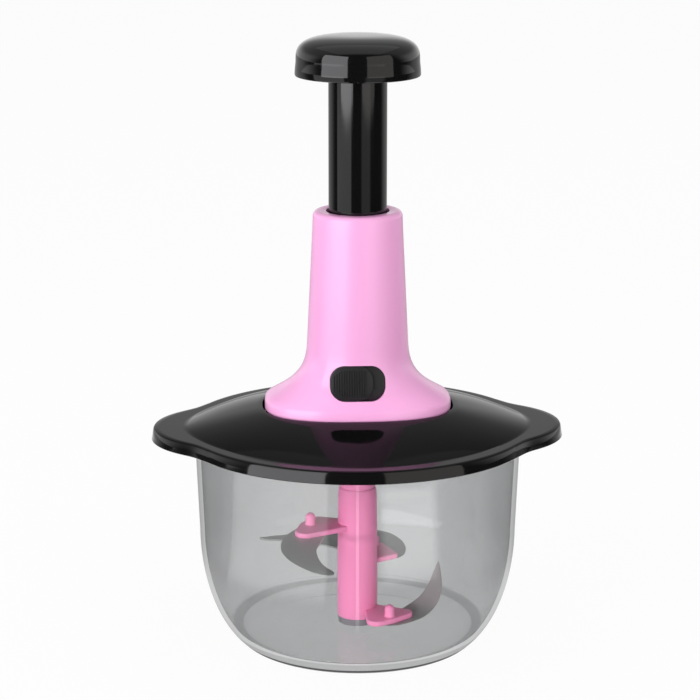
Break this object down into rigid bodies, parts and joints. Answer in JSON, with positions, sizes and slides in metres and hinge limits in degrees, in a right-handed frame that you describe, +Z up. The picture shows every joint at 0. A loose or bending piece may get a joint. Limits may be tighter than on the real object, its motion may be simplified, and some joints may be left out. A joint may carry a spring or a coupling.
{
  "type": "hand press food chopper",
  "caption": "Hand press food chopper: smoke clear bowl, black lid with side ears, pink bell tower, push knob, twist drive and sickle blades.",
  "frame": {"origin": "centre of the bowl's foot ring, on the table", "axes": "+Z up along the plunger and blade axis, ears of the lid along X, lock switch faces -Y"},
  "size_m": [0.2046, 0.1672, 0.3024],
  "materials": {
    "gloss_black": "glossy moulded",
    "pink": "satin gloss moulded",
    "hub_pink": "satin gloss moulded",
    "smoke_clear": "clear smoke tinted moulded plastic",
    "blade_steel": "fine ground stainless",
    "steel": "bright steel",
    "white_plastic": "low friction moulded",
    "grey_plastic": "satin moulded",
    "matte_black": "fine satin moulded"
  },
  "bodies": {
    "bowl_body": {"bowl": "smoke_clear", "pivot_pin": "steel"},
    "blade_set": {"blade_hub": "hub_pink", "hub_foot_ring": "grey_plastic", "low_blade": "blade_steel", "middle_blade": "blade_steel", "high_blade": "blade_steel"},
    "lid_body": {"lid_cover": "gloss_black", "tower_shell": "pink", "tower_screws": "steel", "tube_guide": "white_plastic", "lock_plate": "matte_black", "rod_bush": "white_plastic", "thrust_washer": "steel", "output_bush": "white_plastic", "gear_cover": "gloss_black", "cover_screws": "steel", "return_spring": "steel"},
    "plunger": {"knob": "gloss_black", "push_tube": "gloss_black", "drive_nut": "white_plastic"},
    "rod": {"spiral_rod": "steel", "spring_seat": "white_plastic", "drive_ratchet": "white_plastic"},
    "output_shaft": {"driven_ratchet": "white_plastic"},
    "lock": {"lock_button": "matte_black", "lock_bolt": "matte_black"}
  },
  "joints": [
    {"name": "lid_lift", "type": "slide", "parent": "bowl_body", "child": "lid_body", "axis": [0, 0, 1], "range_m": [0, 0.12]},
    {"name": "plunger_press", "type": "slide", "parent": "lid_body", "child": "plunger", "axis": [0, 0, 1], "range_m": [-0.064, 0], "stiffness_N_per_m": 160, "springref_m": 0.03, "deforming": ["return_spring"]},
    {"name": "rod_spin", "type": "hinge", "parent": "lid_body", "child": "rod", "pos_m": [0, 0, 0.2], "axis": [0, 0, 1], "range_deg": [-576, 0]},
    {"name": "output_spin", "type": "hinge", "parent": "lid_body", "child": "output_shaft", "pos_m": [0, 0, 0.1], "axis": [0, 0, 1], "range_deg": [-576, 0]},
    {"name": "blade_spin", "type": "hinge", "parent": "bowl_body", "child": "blade_set", "pos_m": [0, 0, 0.02], "axis": [0, 0, 1], "range_deg": [-576, 0]},
    {"name": "lock_slide", "type": "slide", "parent": "lid_body", "child": "lock", "axis": [1, 0, 0], "range_m": [0, 0.006]}
  ],
  "couplings": [
    {"joint": "rod_spin", "follows": "plunger_press", "rad_per_m": 157.08},
    {"joint": "output_spin", "follows": "plunger_press", "rad_per_m": 157.08},
    {"joint": "blade_spin", "follows": "plunger_press", "rad_per_m": 157.08}
  ]
}
